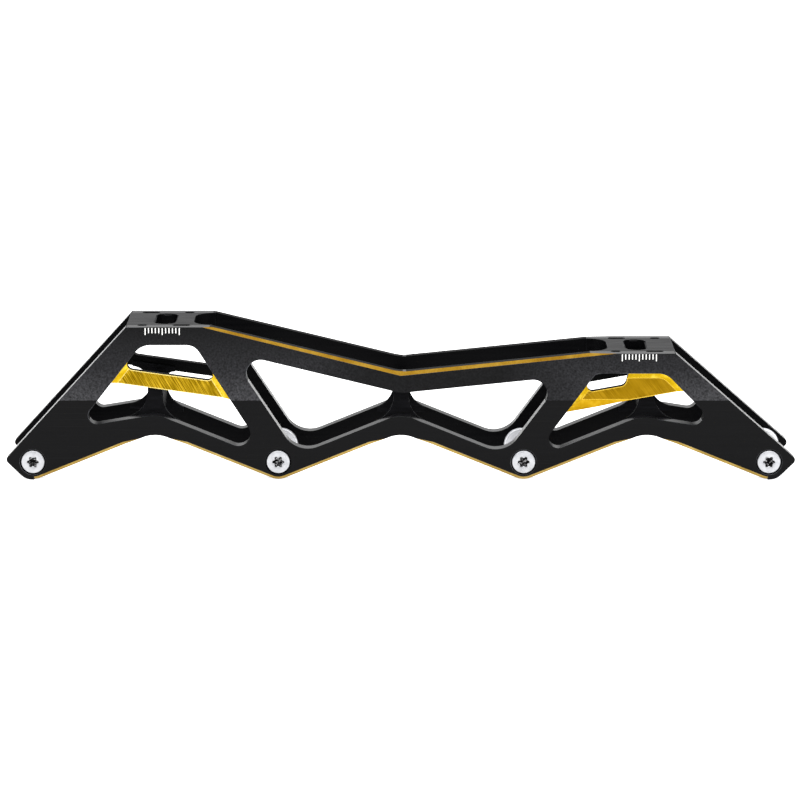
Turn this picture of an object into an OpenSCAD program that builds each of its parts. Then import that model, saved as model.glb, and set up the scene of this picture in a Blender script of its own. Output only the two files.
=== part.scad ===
// Inline skate frame for four wheels on 101.6 mm centres, in millimetres
// +X points to the toe, +Z up, and the origin is under the middle, level with the lowest points of the lobes
// The right wall is on the -Y side, where the axle heads are

/* [Wheels and axles] */
// Distance from one axle to the next
axle_pitch = 101.6; // [98:0.2:106]
// Room for a wheel between the two boss faces
hub_w = 24; // [20:0.5:30]
// Radius of the largest wheel, for the clearance of the bridges
wheel_r = 50; // [44:0.5:50.5]
// Gap between a wheel and a bridge
wheel_gap = 1.5; // [1:0.1:3]
// Diameter of the axle shank
shank_d = 8; // [7.6:0.1:9]
// Diameter of the axle thread
thread_d = 7; // [5:0.1:7.2]
// Diameter of the axle head
head_d = 10; // [9:0.1:11]
// Thickness of the axle head
head_t = 2.9; // [2:0.1:3.2]
// Chamfer on an axle's edges
axle_edge = 0.4; // [0.2:0.05:0.6]
// Depth of the head below the wall
head_sink = 0.1; // [0:0.05:0.5]
// Gap round the head in its counterbore
head_gap = 0.35; // [0.2:0.05:0.6]
// Width of the six-lobe drive in the head
drive_d = 4.8; // [3.6:0.1:6]
// Depth of the six-lobe drive
drive_depth = 1.8; // [1:0.1:2.2]
// Radial clearance of the shank and the thread
fit = 0.05; // [0.02:0.01:0.09]
// Radial clearance of a bush or an insert in its wall
press_gap = 0.02; // [0.01:0.01:0.04]
// Distance from the shank's shoulder to the insert
shoulder_gap = 0.3; // [0.1:0.1:1]
// Distance from the thread's end to the outside of the wall
thread_end_in = 0.6; // [0.2:0.1:2]

/* [Bushes and inserts] */
// Height of a boss on the inside of a wall
boss_h = 1; // [0.6:0.1:2.5]
// Rim of the lobe left outside the boss
boss_rim = 0.2; // [0.1:0.1:1.5]
// Chamfer round a boss
boss_edge = 0.5; // [0.2:0.1:0.5]
// Wall of a bush round the shank
bush_wall = 0.8; // [0.5:0.1:1.2]
// Wall of an insert round the thread
insert_wall = 1.6; // [1:0.1:2.4]

/* [Side walls] */
// Thickness of a side wall
wall_t = 5; // [4.4:0.1:7]
// Radius of the lobe round an axle
lobe_r = 7.5; // [7:0.1:9]
// Rise of the lower rail from a lobe, in degrees
rail_rise = 22.2; // [18:0.1:25]
// Height of the lower rail, measured upright
rail_h = 8; // [6.5:0.1:9.5]
// Radius under the lower rail, between two lobes
arch_r = 14; // [8:0.5:20]
// Reach of the end corner past the last axle
tip_out = 11.6; // [11:0.1:14]
// Radius of the end corner
tip_r = 1.9; // [1:0.1:2.5]
// Width of an end leg at the height of its platform
leg_top_w = 11.9; // [9:0.1:14]
// Width of an end leg at its foot
leg_foot_w = 19.3; // [17:0.1:22]
// Height of the valley in the upper beam
valley_h = 45.4; // [43:0.1:48]
// Height of the upper beam, measured upright
beam_h = 8.6; // [7:0.1:10]
// Radius of the valley
valley_r = 20; // [5:0.5:40]
// Radius where the beam's slope meets a platform's level
slope_r = 8; // [4:0.5:12]
// Radius at the outer end of a platform's level
end_r = 0.8; // [0.4:0.1:1.5]
// Width of a strut, measured level
strut_w = 12.1; // [9:0.1:14]
// How much wider the heel strut is at its foot, on the heel side
strut_taper = 1; // [0:0.1:2]
// Distance from an axle to the middle of the strut's foot
strut_foot = 4.1; // [2:0.1:6]
// Height of the crease above the axles
crease_h = 26.2; // [22:0.1:30]
// Lean of a wall's outside above the crease, in degrees
lean = 1.1; // [0.4:0.1:1.6]
// Chamfer under the lower rail
rail_chamfer = 1.3; // [0.6:0.1:1.6]
// Chamfer on top of the upper beam
beam_chamfer = 1.5; // [0.6:0.1:2]
// Distance from the end of the rail's chamfer to the bend of the arch
chamfer_stop = 1; // [0.5:0.1:3]
// Length over which the rail's chamfer runs out
chamfer_run = 7; // [4:0.5:12]

/* [Windows] */
// Heel window, radius at the leg and under the platform
heel_leg_r = 8; // [4:0.5:10]
// Heel window, radius at the strut and under the platform
heel_strut_r = 6; // [3:0.5:8]
// Heel window, radius at the strut's foot
heel_foot_r = 5; // [3:0.1:6]
// Heel window, radius at the leg's foot
heel_toe_r = 3.6; // [2:0.1:4.5]
// Middle window, radius under the beam
beam_corner_r = 6; // [3:0.5:8]
// Middle window, radius at the feet of the struts
foot_corner_r = 11; // [6:0.5:14]
// Radius of the windows over the top of an arch
crown_r = 14; // [6:0.5:20]
// Toe window, radius at the leg
toe_leg_r = 8; // [4:0.5:10]
// Toe window, radius at the strut and under the platform
toe_strut_r = 3.5; // [2:0.1:5]
// Toe window, radius at the feet of the strut and the leg
toe_foot_r = 4; // [2:0.1:4.5]
// Height of the heel window's floor above the end axle
heel_floor = 11.7; // [10:0.1:14]
// Height of the toe window's floor above the end axle
toe_floor = 10.7; // [9:0.1:13]
// Drop of the heel window's floor below the top of the rail
heel_dip = 0.5; // [0:0.1:1.5]
// Drop of the toe window's floor below the top of the rail
toe_dip = 1.7; // [0:0.1:2.4]

/* [Platforms] */
// Distance between the two mounting slots
mount_spacing = 195; // [190:0.5:200]
// Height of the heel platform
heel_h = 64.4; // [62:0.1:68]
// Height of the toe platform
toe_h = 53.4; // [52:0.1:57]
// Platform length from its slot to the outer end
deck_out = 15.5; // [12:0.1:18]
// Platform length from its slot to the notch at its inner end
deck_notch = 11.9; // [9:0.1:14]
// Wall length from a slot to the start of the beam's slope
deck_in = 19.8; // [17:0.1:22]
// Thickness of a platform
deck_t = 7; // [5:0.1:7.4]
// Height of the wall above the heel window
heel_rail = 7.5; // [7.4:0.1:9]
// Height of the wall above the toe window
toe_rail = 8.4; // [7.4:0.1:9]
// Width of a mounting slot, along the frame
slot_w = 8.4; // [6.5:0.1:10]
// Length of a mounting slot, across the frame
slot_l = 20; // [14:0.5:22]
// Corner radius of a mounting slot
slot_r = 2.4; // [1:0.1:3]
// Chamfer round the mouth of a mounting slot
slot_chamfer = 0.6; // [0.3:0.1:1]
// Corner radius of the notch at the inner end
notch_r = 7.5; // [4:0.5:9]
// Width of the thin lip between the notch and a wall
notch_lip = 0.6; // [0.4:0.1:1.5]
// Length of a short pocket at the platform's edge
short_pocket = 4.1; // [3:0.1:5]
// Length of a long pocket at the platform's edge
long_pocket = 7.4; // [6:0.1:8]
// Width of a pocket, half in the platform and half in the wall
pocket_w = 2.8; // [2:0.1:3.4]
// Depth of a pocket
pocket_depth = 2; // [1:0.1:3]
// Distance from the slot to the middle of the short pocket
short_pocket_x = 9; // [8.4:0.1:9.2]
// Distance from the slot to the middle of the long pocket
long_pocket_x = 7.1; // [6.5:0.1:7.6]

/* [Struts] */
// Distance from the heel slot to the strut's head
heel_strut_head = 18.7; // [16:0.1:21]
// Distance from the toe slot to the strut's head
toe_strut_head = 23.3; // [20:0.1:25]

/* [Braces] */
// Height of a brace, measured upright
brace_h = 6.4; // [5:0.1:7.5]
// Drop from the heel platform to its brace's lower edge, at the slot
heel_brace_drop = 26.5; // [25:0.1:28]
// Fall of the heel brace towards the toe, in degrees
heel_brace_fall = 8.1; // [5:0.1:10]
// Drop from the toe platform to its brace's lower edge, at the slot
toe_brace_drop = 19.3; // [18:0.1:20.5]
// Rise of the toe brace towards the toe, in degrees
toe_brace_rise = 10.3; // [8:0.1:12]
// Distance from the toe slot back to the end of the hole over the brace
toe_hole_end = 3.8; // [2:0.1:6]
// Lean of the hole's end
toe_hole_lean = 1.3; // [0:0.1:2]
// Radius in the corners above the heel brace
heel_brace_r = 2.5; // [1:0.1:3.2]
// Radius in the corner above the toe brace, at the strut
toe_brace_r = 2.3; // [1:0.1:2.4]
// Radius at the toe end of the hole over the toe brace
toe_hole_r = 3; // [1:0.1:3.4]
// Depth of a brace's face below the outside of the wall
brace_sink = 1.7; // [1:0.1:2.4]
// Width of the bevel round a brace's face
brace_bevel = 2.1; // [1:0.1:2.6]
// Depth of the bevel's outer edge below the outside of the wall
brace_edge = 0.4; // [0.3:0.05:0.45]
// How much less tall the left heel brace is, at its lower edge
left_heel_trim = 1.7; // [0:0.1:2.4]
// How much less tall the left toe brace is, at its lower edge
left_toe_trim = 3.7; // [0:0.1:4]

/* [Bridges] */
// Thickness of a bridge
bridge_t = 6.2; // [4:0.1:7]
// Depth of a bridge's lower edge below the wheels' tops, with their gap
bridge_dip = 32.1; // [31:0.1:32.1]
// Height of the heel bridge
heel_bridge_h = 11.9; // [10.5:0.1:13]
// Height of the middle bridge
middle_bridge_h = 12; // [10.5:0.1:12.4]
// Height of the toe bridge
toe_bridge_h = 11.6; // [9.6:0.1:13.5]
// Radius of the flare at a bridge's foot
flare_r = 11; // [8:0.1:11.4]
// Depth of a foot on the wall
foot_t = 1.5; // [1:0.1:2]
// Depth of a foot below the window's floor
foot_down = 2; // [1:0.1:3]
// Fillet under the left heel brace, radius towards the heel
head_back_r = 9.5; // [5:0.5:11]
// Fillet under the left heel brace, radius towards the toe
head_front_r = 3; // [2:0.5:4]
// Height of the fillets' plate on that brace
head_rim = 2; // [1:0.1:2.6]

/* [Hidden] */
$fn = 96;

// Largest turn between two points of a rounded corner, in degrees
arc_step = 6;
// How far a cutting shape runs past the face that it cuts
past = 1;

axle_z = lobe_r;
axle_x = [for (i = [-1.5 : 1 : 1.5]) i * axle_pitch];
inside_y = hub_w / 2 + boss_h;
crease_z = axle_z + crease_h;
heel_x = -mount_spacing / 2;
toe_x = mount_spacing / 2;
boss_r = lobe_r - boss_rim;
bush_r = shank_d / 2 + fit + bush_wall;
insert_r = thread_d / 2 + insert_wall;
head_room = head_t + head_sink;
hub_half = hub_w / 2;

// Colours of the finishes
black = [0.10, 0.10, 0.11];
gold = [0.83, 0.66, 0.10];
silver = [0.78, 0.78, 0.80];

// Plane geometry: a line is a pair of points
function unit(v) = v / norm(v);
function shift(line, v) = [line[0] + v, line[1] + v];
function turned(line) = [line[1], line[0]];
function meet(a, b) =
    let (
        da = a[1] - a[0],
        db = b[1] - b[0]
    )
    a[0] + da * cross(b[0] - a[0], db) / cross(da, db);
function slope_line(p, angle) = [p, p + [cos(angle), sin(angle)]];
function level(z) = [[0, z], [1, z]];

// Points of the arc that rounds the corner b on the way from a to c, with a flat in the middle of the turn
function arc(a, b, c, r) =
    let (
        u = unit(a - b),
        v = unit(c - b),
        half = acos(u * v) / 2,
        centre = b + unit(u + v) * r / sin(half),
        p = b + u * r / tan(half) - centre,
        q = b + v * r / tan(half) - centre,
        from = atan2(p[1], p[0]),
        turn = atan2(cross(p, q), p * q),
        steps = 1 + 2 * ceil(abs(turn) / arc_step / 2)
    )
    [for (i = [0 : steps]) centre + r * [cos(from + turn * i / steps), sin(from + turn * i / steps)]];

// Middles of an arc's flats, so that what follows it bends between its points
function flats(points) = [for (k = [1 : len(points) - 1]) (points[k - 1] + points[k]) / 2];

// Outline with each corner rounded by its own radius, from [point, radius] pairs
function rounded(corners) =
    let (n = len(corners))
    [
        for (i = [0 : n - 1])
            each arc(
                corners[(i + n - 1) % n][0], corners[i][0],
                corners[(i + 1) % n][0], corners[i][1]
            )
    ];

// Lines and corners of a side wall, seen from the right with the toe at the right
rise_v = [cos(rail_rise), sin(rail_rise)];
fall_v = [-cos(rail_rise), sin(rail_rise)];
lobe_corner = [for (x = axle_x) [x, axle_z - lobe_r / cos(rail_rise)]];
rail_up = [for (p = lobe_corner) [p, p + rise_v]];
rail_back = [for (p = lobe_corner) [p, p + fall_v]];
arch = [for (i = [0 : 2]) meet(rail_up[i], rail_back[i + 1])];
rail_lift = [0, rail_h];

heel_end = [heel_x - deck_out, heel_h];
heel_slope = [heel_x + deck_in, heel_h];
valley = [0, valley_h];
toe_slope = [toe_x - deck_in, toe_h];
toe_end = [toe_x + deck_out, toe_h];
tip_z = axle_z + tip_out - lobe_r * sqrt(2);
heel_tip = [axle_x[0] - tip_out, tip_z];
toe_tip = [axle_x[3] + tip_out, tip_z];
heel_lobe = meet([heel_tip, heel_tip + [1, -1]], rail_up[0]);
toe_lobe = meet([toe_tip, toe_tip + [-1, -1]], rail_back[3]);

wall_outline = rounded([
    [heel_end, end_r], [heel_slope, slope_r], [valley, valley_r], [toe_slope, slope_r], [toe_end, end_r],
    [toe_tip, tip_r], [toe_lobe, lobe_r], [arch[2], arch_r], [lobe_corner[2], lobe_r],
    [arch[1], arch_r], [lobe_corner[1], lobe_r], [arch[0], arch_r], [heel_lobe, lobe_r], [heel_tip, tip_r]
]);

heel_leg_in = [heel_end + [leg_top_w, 0], heel_tip + [leg_foot_w, 0]];
toe_leg_in = [toe_end - [leg_top_w, 0], toe_tip - [leg_foot_w, 0]];
heel_top = heel_h - heel_rail;
toe_top = toe_h - toe_rail;
heel_strut = [[axle_x[1] + strut_foot, axle_z], [heel_x + heel_strut_head, heel_top]];
toe_strut = [[axle_x[2] - strut_foot, axle_z], [toe_x - toe_strut_head, toe_top]];
strut_half = [strut_w / 2, 0];
beam_left = shift([heel_slope, valley], [0, -beam_h]);
beam_right = shift([valley, toe_slope], [0, -beam_h]);
crown = [for (p = arch) p + rail_lift];
heel_floor_line = [[axle_x[0], axle_z + heel_floor], crown[0] - [0, heel_dip]];
toe_floor_line = [crown[2] - [0, toe_dip], [axle_x[3], axle_z + toe_floor]];
rail_top_up = [for (line = rail_up) shift(line, rail_lift)];
rail_top_back = [for (line = rail_back) shift(line, rail_lift)];
heel_strut_left = [heel_strut[0] - strut_half - [strut_taper, 0], heel_strut[1] - strut_half];
heel_strut_right = shift(heel_strut, strut_half);
toe_strut_left = shift(toe_strut, -strut_half);
toe_strut_right = shift(toe_strut, strut_half);

heel_window = rounded([
    [meet(heel_leg_in, level(heel_top)), heel_leg_r],
    [meet(heel_strut_left, level(heel_top)), heel_strut_r],
    [meet(heel_strut_left, rail_top_back[1]), heel_foot_r],
    [meet(heel_floor_line, rail_top_back[1]), crown_r],
    [meet(heel_floor_line, heel_leg_in), heel_toe_r]
]);

middle_window = rounded([
    [meet(heel_strut_right, beam_left), beam_corner_r],
    [valley - [0, beam_h], crown_r],
    [meet(toe_strut_left, beam_right), beam_corner_r],
    [meet(toe_strut_left, rail_top_back[2]), foot_corner_r],
    [crown[1], crown_r],
    [meet(heel_strut_right, rail_top_up[1]), foot_corner_r]
]);

toe_window_corner = meet(toe_leg_in, level(toe_top));
toe_window = rounded([
    [meet(toe_strut_right, level(toe_top)), toe_strut_r],
    [toe_window_corner, toe_leg_r],
    [meet(toe_leg_in, toe_floor_line), toe_foot_r],
    [meet(toe_floor_line, rail_top_up[2]), crown_r],
    [meet(toe_strut_right, rail_top_up[2]), toe_foot_r]
]);

// Corners of the braces
heel_brace_low = slope_line([heel_x, heel_h - heel_brace_drop], -heel_brace_fall);
heel_brace_top = shift(heel_brace_low, [0, brace_h]);
heel_brace_a = meet(heel_brace_top, heel_strut_left);
heel_brace_b = meet(heel_brace_top, heel_leg_in);
function heel_brace_outline(trim) = concat(
    let (low = shift(heel_brace_low, [0, trim]))
    [meet(low, heel_leg_in), meet(low, heel_strut_left)],
    arc(heel_strut_left[1], heel_brace_a, heel_brace_b, heel_brace_r),
    arc(heel_brace_a, heel_brace_b, heel_leg_in[0], heel_brace_r)
);

toe_brace_low = slope_line([toe_x, toe_h - toe_brace_drop], toe_brace_rise);
toe_brace_top = shift(toe_brace_low, [0, brace_h]);
toe_hole_top = [toe_x - toe_hole_end, toe_top];
toe_hole_side = [toe_hole_top, toe_hole_top - [toe_hole_lean, brace_h]];
toe_brace_a = meet(toe_brace_top, toe_hole_side);
toe_brace_b = meet(toe_brace_top, toe_strut_right);
function toe_brace_outline(trim) = concat(
    let (low = shift(toe_brace_low, [0, trim]))
    [meet(low, toe_strut_right), meet(low, toe_leg_in)],
    arc(toe_leg_in[1], toe_window_corner, toe_hole_top, toe_leg_r),
    [toe_hole_top],
    arc(toe_hole_top, toe_brace_a, toe_brace_b, toe_hole_r),
    arc(toe_brace_a, toe_brace_b, toe_strut_right[1], toe_brace_r)
);

// Outline of a brace's bevelled face, drawn in from the window by a margin
function inset(line, away, margin) =
    let (
        d = unit(line[1] - line[0]),
        n = [-d[1], d[0]]
    )
    shift(line, n * margin * (n * (away - line[0]) > 0 ? 1 : -1));

heel_middle = [heel_x, heel_top - brace_h];
function heel_face(margin) =
    let (
        left = inset(heel_leg_in, heel_middle, margin),
        right = inset(heel_strut_left, heel_middle, margin),
        low = level(crease_z - brace_bevel + margin),
        top = level(heel_top + past)
    )
    [meet(left, low), meet(right, low), meet(right, top), meet(left, top)];

toe_middle = [toe_x, toe_top - brace_h];
function toe_face(margin) =
    let (
        left = inset(toe_strut_right, toe_middle, margin),
        right = inset(toe_leg_in, toe_middle, margin),
        low = level(crease_z - brace_bevel + margin),
        top = level(toe_top - margin),
        corner = meet(right, top)
    )
    concat(
        [meet(left, low), meet(right, low)],
        flats(arc(meet(right, low), corner, meet(left, top), max(1, toe_leg_r - margin))),
        [meet(left, top)]
    );

// Turns a wall drawn flat, with its inside down, upright on the right of the frame
module on_right() {
    translate([0, -inside_y, 0]) rotate([90, 0, 0]) children();
}

module on_left() {
    mirror([0, 1, 0]) on_right() children();
}

// Cuts the corner between a wall's outside and the edge from p to q
module edge_cut(p, q, c) {
    translate([p[0], p[1], wall_t])
        rotate([0, 0, atan2(q[1] - p[1], q[0] - p[0])])
            rotate([90, 0, 90])
                linear_extrude(norm(q - p))
                    polygon([[c + past, past], [-past, past], [-past, -c - past]]);
}

// Chamfer along a path that bends away from it: each cut laps over its bends
module path_cut(path, c) {
    last = len(path) - 2;
    lap = c * tan(arc_step);
    for (k = [0 : last]) {
        d = unit(path[k + 1] - path[k]);
        edge_cut(path[k] - d * (k > 0 ? lap : 0), path[k + 1] + d * (k < last ? lap : 0), c);
    }
}

// What a chamfer leaves where it runs out at p, on an edge along v; side 1 grows with v, side -1 shrinks
module run_out(p, v, c, side) {
    reach = 2 * chamfer_run;
    tilt = side * atan(c / chamfer_run / sqrt(2));
    translate([p[0], p[1], wall_t])
        rotate([0, 0, atan2(v[1], v[0])])
            rotate(a = tilt, v = [0, 1, 1])
                translate([-reach, 0, 0])
                    rotate([90, 0, 90])
                        linear_extrude(2 * reach)
                            polygon([[reach, reach], [reach, -reach], [-reach, -reach]]);
}

// Chamfers under the rail, round each lobe and up to the arches, from the lowest points of the end lobes
module rail_cuts() {
    bend = arch_r * tan(rail_rise);
    stop = bend + chamfer_stop;
    over = bend + chamfer_stop / 2;
    lobes = [
        arc(heel_tip, heel_lobe, arch[0], lobe_r),
        arc(arch[0], lobe_corner[1], arch[1], lobe_r),
        arc(arch[1], lobe_corner[2], arch[2], lobe_r),
        arc(arch[2], toe_lobe, toe_tip, lobe_r)
    ];
    for (i = [0 : 3]) {
        low = [for (p = flats(lobes[i])) if ((i > 0 || p[0] > axle_x[0]) && (i < 3 || p[0] < axle_x[3])) p];
        from = i > 0 ? [arch[i - 1] - fall_v * over] : [];
        to = i < 3 ? [arch[i] - rise_v * over] : [];
        difference() {
            path_cut(concat(from, low, to), rail_chamfer);
            if (i > 0) run_out(arch[i - 1] - fall_v * stop, -fall_v, rail_chamfer, 1);
            if (i < 3) run_out(arch[i] - rise_v * stop, rise_v, rail_chamfer, -1);
        }
    }
}

// Everything outside the chamfer of the straight edge through p and q
module beyond(p, q, c) {
    reach = axle_pitch * 2;
    translate([p[0], p[1], wall_t])
        rotate([0, 0, atan2(q[1] - p[1], q[0] - p[0])])
            translate([-reach, 0, 0])
                rotate([90, 0, 90])
                    linear_extrude(2 * reach)
                        polygon([[c + reach, reach], [-reach, reach], [-reach, -c - reach]]);
}

// Chamfer on the beam, which runs out on the platforms' level
module beam_cuts() {
    intersection() {
        beyond(valley, heel_slope, beam_chamfer);
        beyond(toe_slope, valley, beam_chamfer);
    }
}

// Takes the lean off a wall's outside above the crease
module lean_cut() {
    reach = heel_h;
    length = axle_pitch * 4;
    translate([-length / 2, crease_z, wall_t])
        rotate([-lean, 0, 0])
            cube([length, reach, reach]);
}

// Small pockets at a platform's edges, seen from above
module pockets(x, top, inward) {
    depth = pocket_depth + past;
    for (side = [-1, 1]) {
        near = side * inward;
        for (at = [[-short_pocket_x * near, short_pocket], [long_pocket_x * near, long_pocket]])
            translate([x + at[0], side * inside_y, top - pocket_depth])
                pocket(at[1], depth);
    }
}

module pocket(length, depth) {
    reach = (length - pocket_w) / 2;
    translate([-reach, 0, 0]) cylinder(h = depth, d = pocket_w);
    translate([reach, 0, 0]) cylinder(h = depth, d = pocket_w);
    translate([-reach, -pocket_w / 2, 0]) cube([2 * reach, pocket_w, depth]);
}

// Side wall drawn flat, without its axle holes
module flat_wall() {
    difference() {
        linear_extrude(wall_t) polygon(wall_outline);
        for (window = [heel_window, middle_window, toe_window])
            translate([0, 0, -past])
                linear_extrude(wall_t + 2 * past)
                    polygon(window);
        rail_cuts();
        beam_cuts();
        lean_cut();
    }
}

module axle_holes(r, from, to) {
    for (x = axle_x)
        translate([x, axle_z, from]) cylinder(h = to - from, r = r);
}

module right_side_wall() {
    color(black)
        difference() {
            on_right()
                difference() {
                    flat_wall();
                    axle_holes(bush_r + press_gap, -past, wall_t + past);
                    axle_holes(head_d / 2 + head_gap, wall_t - head_room, wall_t + past);
                }
            pockets(heel_x, heel_h, -1);
            pockets(toe_x, toe_h, -1);
        }
}

module left_side_wall() {
    color(black)
        difference() {
            on_left()
                difference() {
                    flat_wall();
                    axle_holes(insert_r + press_gap, -past, wall_t + past);
                }
            pockets(heel_x, heel_h, -1);
            pockets(toe_x, toe_h, -1);
        }
}

// Slot with rounded corners and a chamfered mouth, cut down from the top
module mount_slot(x, top) {
    w = slot_w / 2;
    l = slot_l / 2;
    c = slot_chamfer;
    outline = rounded([[[-w, -l], slot_r], [[w, -l], slot_r], [[w, l], slot_r], [[-w, l], slot_r]]);
    translate([x, 0, top - deck_t - past]) linear_extrude(deck_t + 2 * past) polygon(outline);
    for (side = [-1, 1]) {
        translate([x + side * w, 0, top])
            rotate([0, 45, 0])
                cube([c * sqrt(2), slot_l - 2 * slot_r - c, c * sqrt(2)], center = true);
        translate([x, side * l, top])
            rotate([45, 0, 0])
                cube([slot_w - 2 * slot_r - c, c * sqrt(2), c * sqrt(2)], center = true);
    }
}

// Platform between the walls, with its inner end towards +X when inward is 1
module platform(x, top, inward) {
    half = inside_y - notch_lip;
    outline = rounded([
        [[deck_notch, -half], notch_r], [[deck_in + past, -half], 0.1],
        [[deck_in + past, half], 0.1], [[deck_notch, half], notch_r]
    ]);
    color(black)
        difference() {
            translate([x, 0, top - deck_t])
                translate([inward > 0 ? -deck_out : -deck_in, -inside_y, 0])
                    cube([deck_out + deck_in, 2 * inside_y, deck_t]);
            translate([x, 0, top - deck_t - past])
                mirror([inward > 0 ? 0 : 1, 0, 0])
                    linear_extrude(deck_t + 2 * past)
                        polygon(outline);
            mount_slot(x, top);
            pockets(x, top, -1);
        }
}

module heel_platform() {
    platform(heel_x, heel_h, 1);
}

module toe_platform() {
    platform(toe_x, toe_h, -1);
}

// Lower edge of the bridges, which clears the wheels
bridge_low = axle_z + wheel_r + wheel_gap - bridge_dip;

// Bridge across the frame between two wheels, with trumpet feet that run out on the windows' floors
module bridge(i, height, left_floor, right_floor) {
    x = (axle_x[i] + axle_x[i + 1]) / 2;
    half = bridge_t / 2;
    left = meet([[-half, 0], [-half, 1]], shift(left_floor, [-x, 0]));
    right = meet([[half, 0], [half, 1]], shift(right_floor, [-x, 0]));
    out_left = unit(left_floor[0] - left_floor[1]);
    out_right = unit(right_floor[1] - right_floor[0]);
    left_flare = arc(left + out_left, left, left + [0, 1], flare_r);
    right_flare = arc(right + [0, 1], right, right + out_right, flare_r);
    down = [0, foot_down];
    right_end = right_flare[len(right_flare) - 1];
    foot = concat(left_flare, right_flare, [right_end - down, left_flare[0] - down]);
    color(black)
        translate([x, 0, 0]) {
            translate([-half, -inside_y, bridge_low]) cube([bridge_t, 2 * inside_y, height]);
            for (y = [foot_t - inside_y, inside_y])
                translate([0, y, 0]) rotate([90, 0, 0]) linear_extrude(foot_t) polygon(foot);
        }
}

module heel_bridge() {
    bridge(0, heel_bridge_h, heel_floor_line, turned(rail_top_back[1]));
    bridge_head((axle_x[0] + axle_x[1]) / 2);
}

// Head of the heel bridge, a plate with two fillets under the left brace
module bridge_head(x) {
    half = bridge_t / 2;
    low = shift(heel_brace_low, [-x, left_heel_trim]);
    way = unit(low[1] - low[0]);
    left = meet([[-half, 0], [-half, 1]], low);
    right = meet([[half, 0], [half, 1]], low);
    back = arc(left - [0, 1], left, left - way, head_back_r);
    front = arc(right + way, right, right - [0, 1], head_front_r);
    rim = [0, head_rim];
    color(black)
        translate([x, inside_y, 0])
            rotate([90, 0, 0])
                linear_extrude(foot_t)
                    polygon(concat(back, [back[len(back) - 1] + rim, front[0] + rim], front));
}

module middle_bridge() {
    bridge(1, middle_bridge_h, rail_top_up[1], turned(rail_top_back[2]));
}

module toe_bridge() {
    bridge(2, toe_bridge_h, rail_top_up[2], toe_floor_line);
}

// Brace drawn flat: a plate in the window with a bevelled, sunken face
// The bevel goes on outwards past the window's edge, as far again
module flat_brace(outline, wide, narrow) {
    skin = 0.01;
    difference() {
        linear_extrude(wall_t) polygon(outline);
        hull() {
            translate([0, 0, wall_t - brace_sink]) linear_extrude(skin) polygon(narrow);
            translate([0, 0, wall_t + brace_sink - 2 * brace_edge]) linear_extrude(skin) polygon(wide);
        }
        lean_cut();
    }
}

module heel_brace(trim) {
    color(gold) flat_brace(heel_brace_outline(trim), heel_face(-brace_bevel), heel_face(brace_bevel));
}

module toe_brace(trim) {
    color(gold) flat_brace(toe_brace_outline(trim), toe_face(-brace_bevel), toe_face(brace_bevel));
}

module right_heel_brace() {
    on_right() heel_brace(0);
}

module right_toe_brace() {
    on_right() toe_brace(0);
}

module left_heel_brace() {
    on_left() heel_brace(left_heel_trim);
}

module left_toe_brace() {
    on_left() toe_brace(left_toe_trim);
}

// Plain flanged bush in the right wall, for the shank
module bush(i) {
    bore = shank_d / 2 + fit;
    color(silver)
        on_right()
            translate([axle_x[i], axle_z, 0])
                rotate_extrude()
                    polygon([
                        [bore, -boss_h], [boss_r - boss_edge, -boss_h],
                        [boss_r, boss_edge - boss_h], [boss_r, 0],
                        [bush_r, 0], [bush_r, wall_t - head_room], [bore, wall_t - head_room]
                    ]);
}

// Threaded flanged insert in the left wall, with its thread drawn plain
module insert(i) {
    bore = thread_d / 2;
    color(silver)
        on_left()
            translate([axle_x[i], axle_z, 0])
                rotate_extrude()
                    polygon([
                        [bore, -boss_h], [boss_r - boss_edge, -boss_h],
                        [boss_r, boss_edge - boss_h], [boss_r, 0],
                        [insert_r, 0], [insert_r, wall_t], [bore, wall_t]
                    ]);
}

// Axle with a sunken head, a shank for the wheel and a thread at its end
module axle(i) {
    head_y = inside_y + wall_t - head_sink;
    shank_y = hub_half - shoulder_gap;
    end_y = inside_y + wall_t - thread_end_in;
    thread_r = thread_d / 2 - fit;
    edge = axle_edge;
    color(silver)
        translate([axle_x[i], 0, axle_z])
            rotate([-90, 0, 0])
                difference() {
                    rotate_extrude()
                        polygon([
                            [0, -head_y], [head_d / 2 - edge, -head_y], [head_d / 2, edge - head_y],
                            [head_d / 2, head_t - head_y], [shank_d / 2, head_t - head_y],
                            [shank_d / 2, shank_y - edge], [shank_d / 2 - edge, shank_y],
                            [thread_r, shank_y], [thread_r, end_y - edge],
                            [thread_r - edge, end_y], [0, end_y]
                        ]);
                    drive(-head_y);
                }
}

// Six-lobe drive, cut into the head
module drive(y) {
    lobe = drive_d / 8;
    depth = drive_depth + past;
    translate([0, 0, y - past]) {
        cylinder(h = depth, d = drive_d * 0.72);
        for (a = [0 : 60 : 300])
            rotate([0, 0, a])
                translate([drive_d / 2 - lobe, 0, 0])
                    cylinder(h = depth, r = lobe);
    }
}

right_side_wall();
left_side_wall();
heel_platform();
toe_platform();
heel_bridge();
middle_bridge();
toe_bridge();
right_heel_brace();
right_toe_brace();
left_heel_brace();
left_toe_brace();
bush(0);  // bush_1
bush(1);  // bush_2
bush(2);  // bush_3
bush(3);  // bush_4
insert(0);  // insert_1
insert(1);  // insert_2
insert(2);  // insert_3
insert(3);  // insert_4
axle(0);  // axle_1
axle(1);  // axle_2
axle(2);  // axle_3
axle(3);  // axle_4
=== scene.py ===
# Looks of an inline skate frame: four axles, two truss walls, gold details on black
import math

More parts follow.
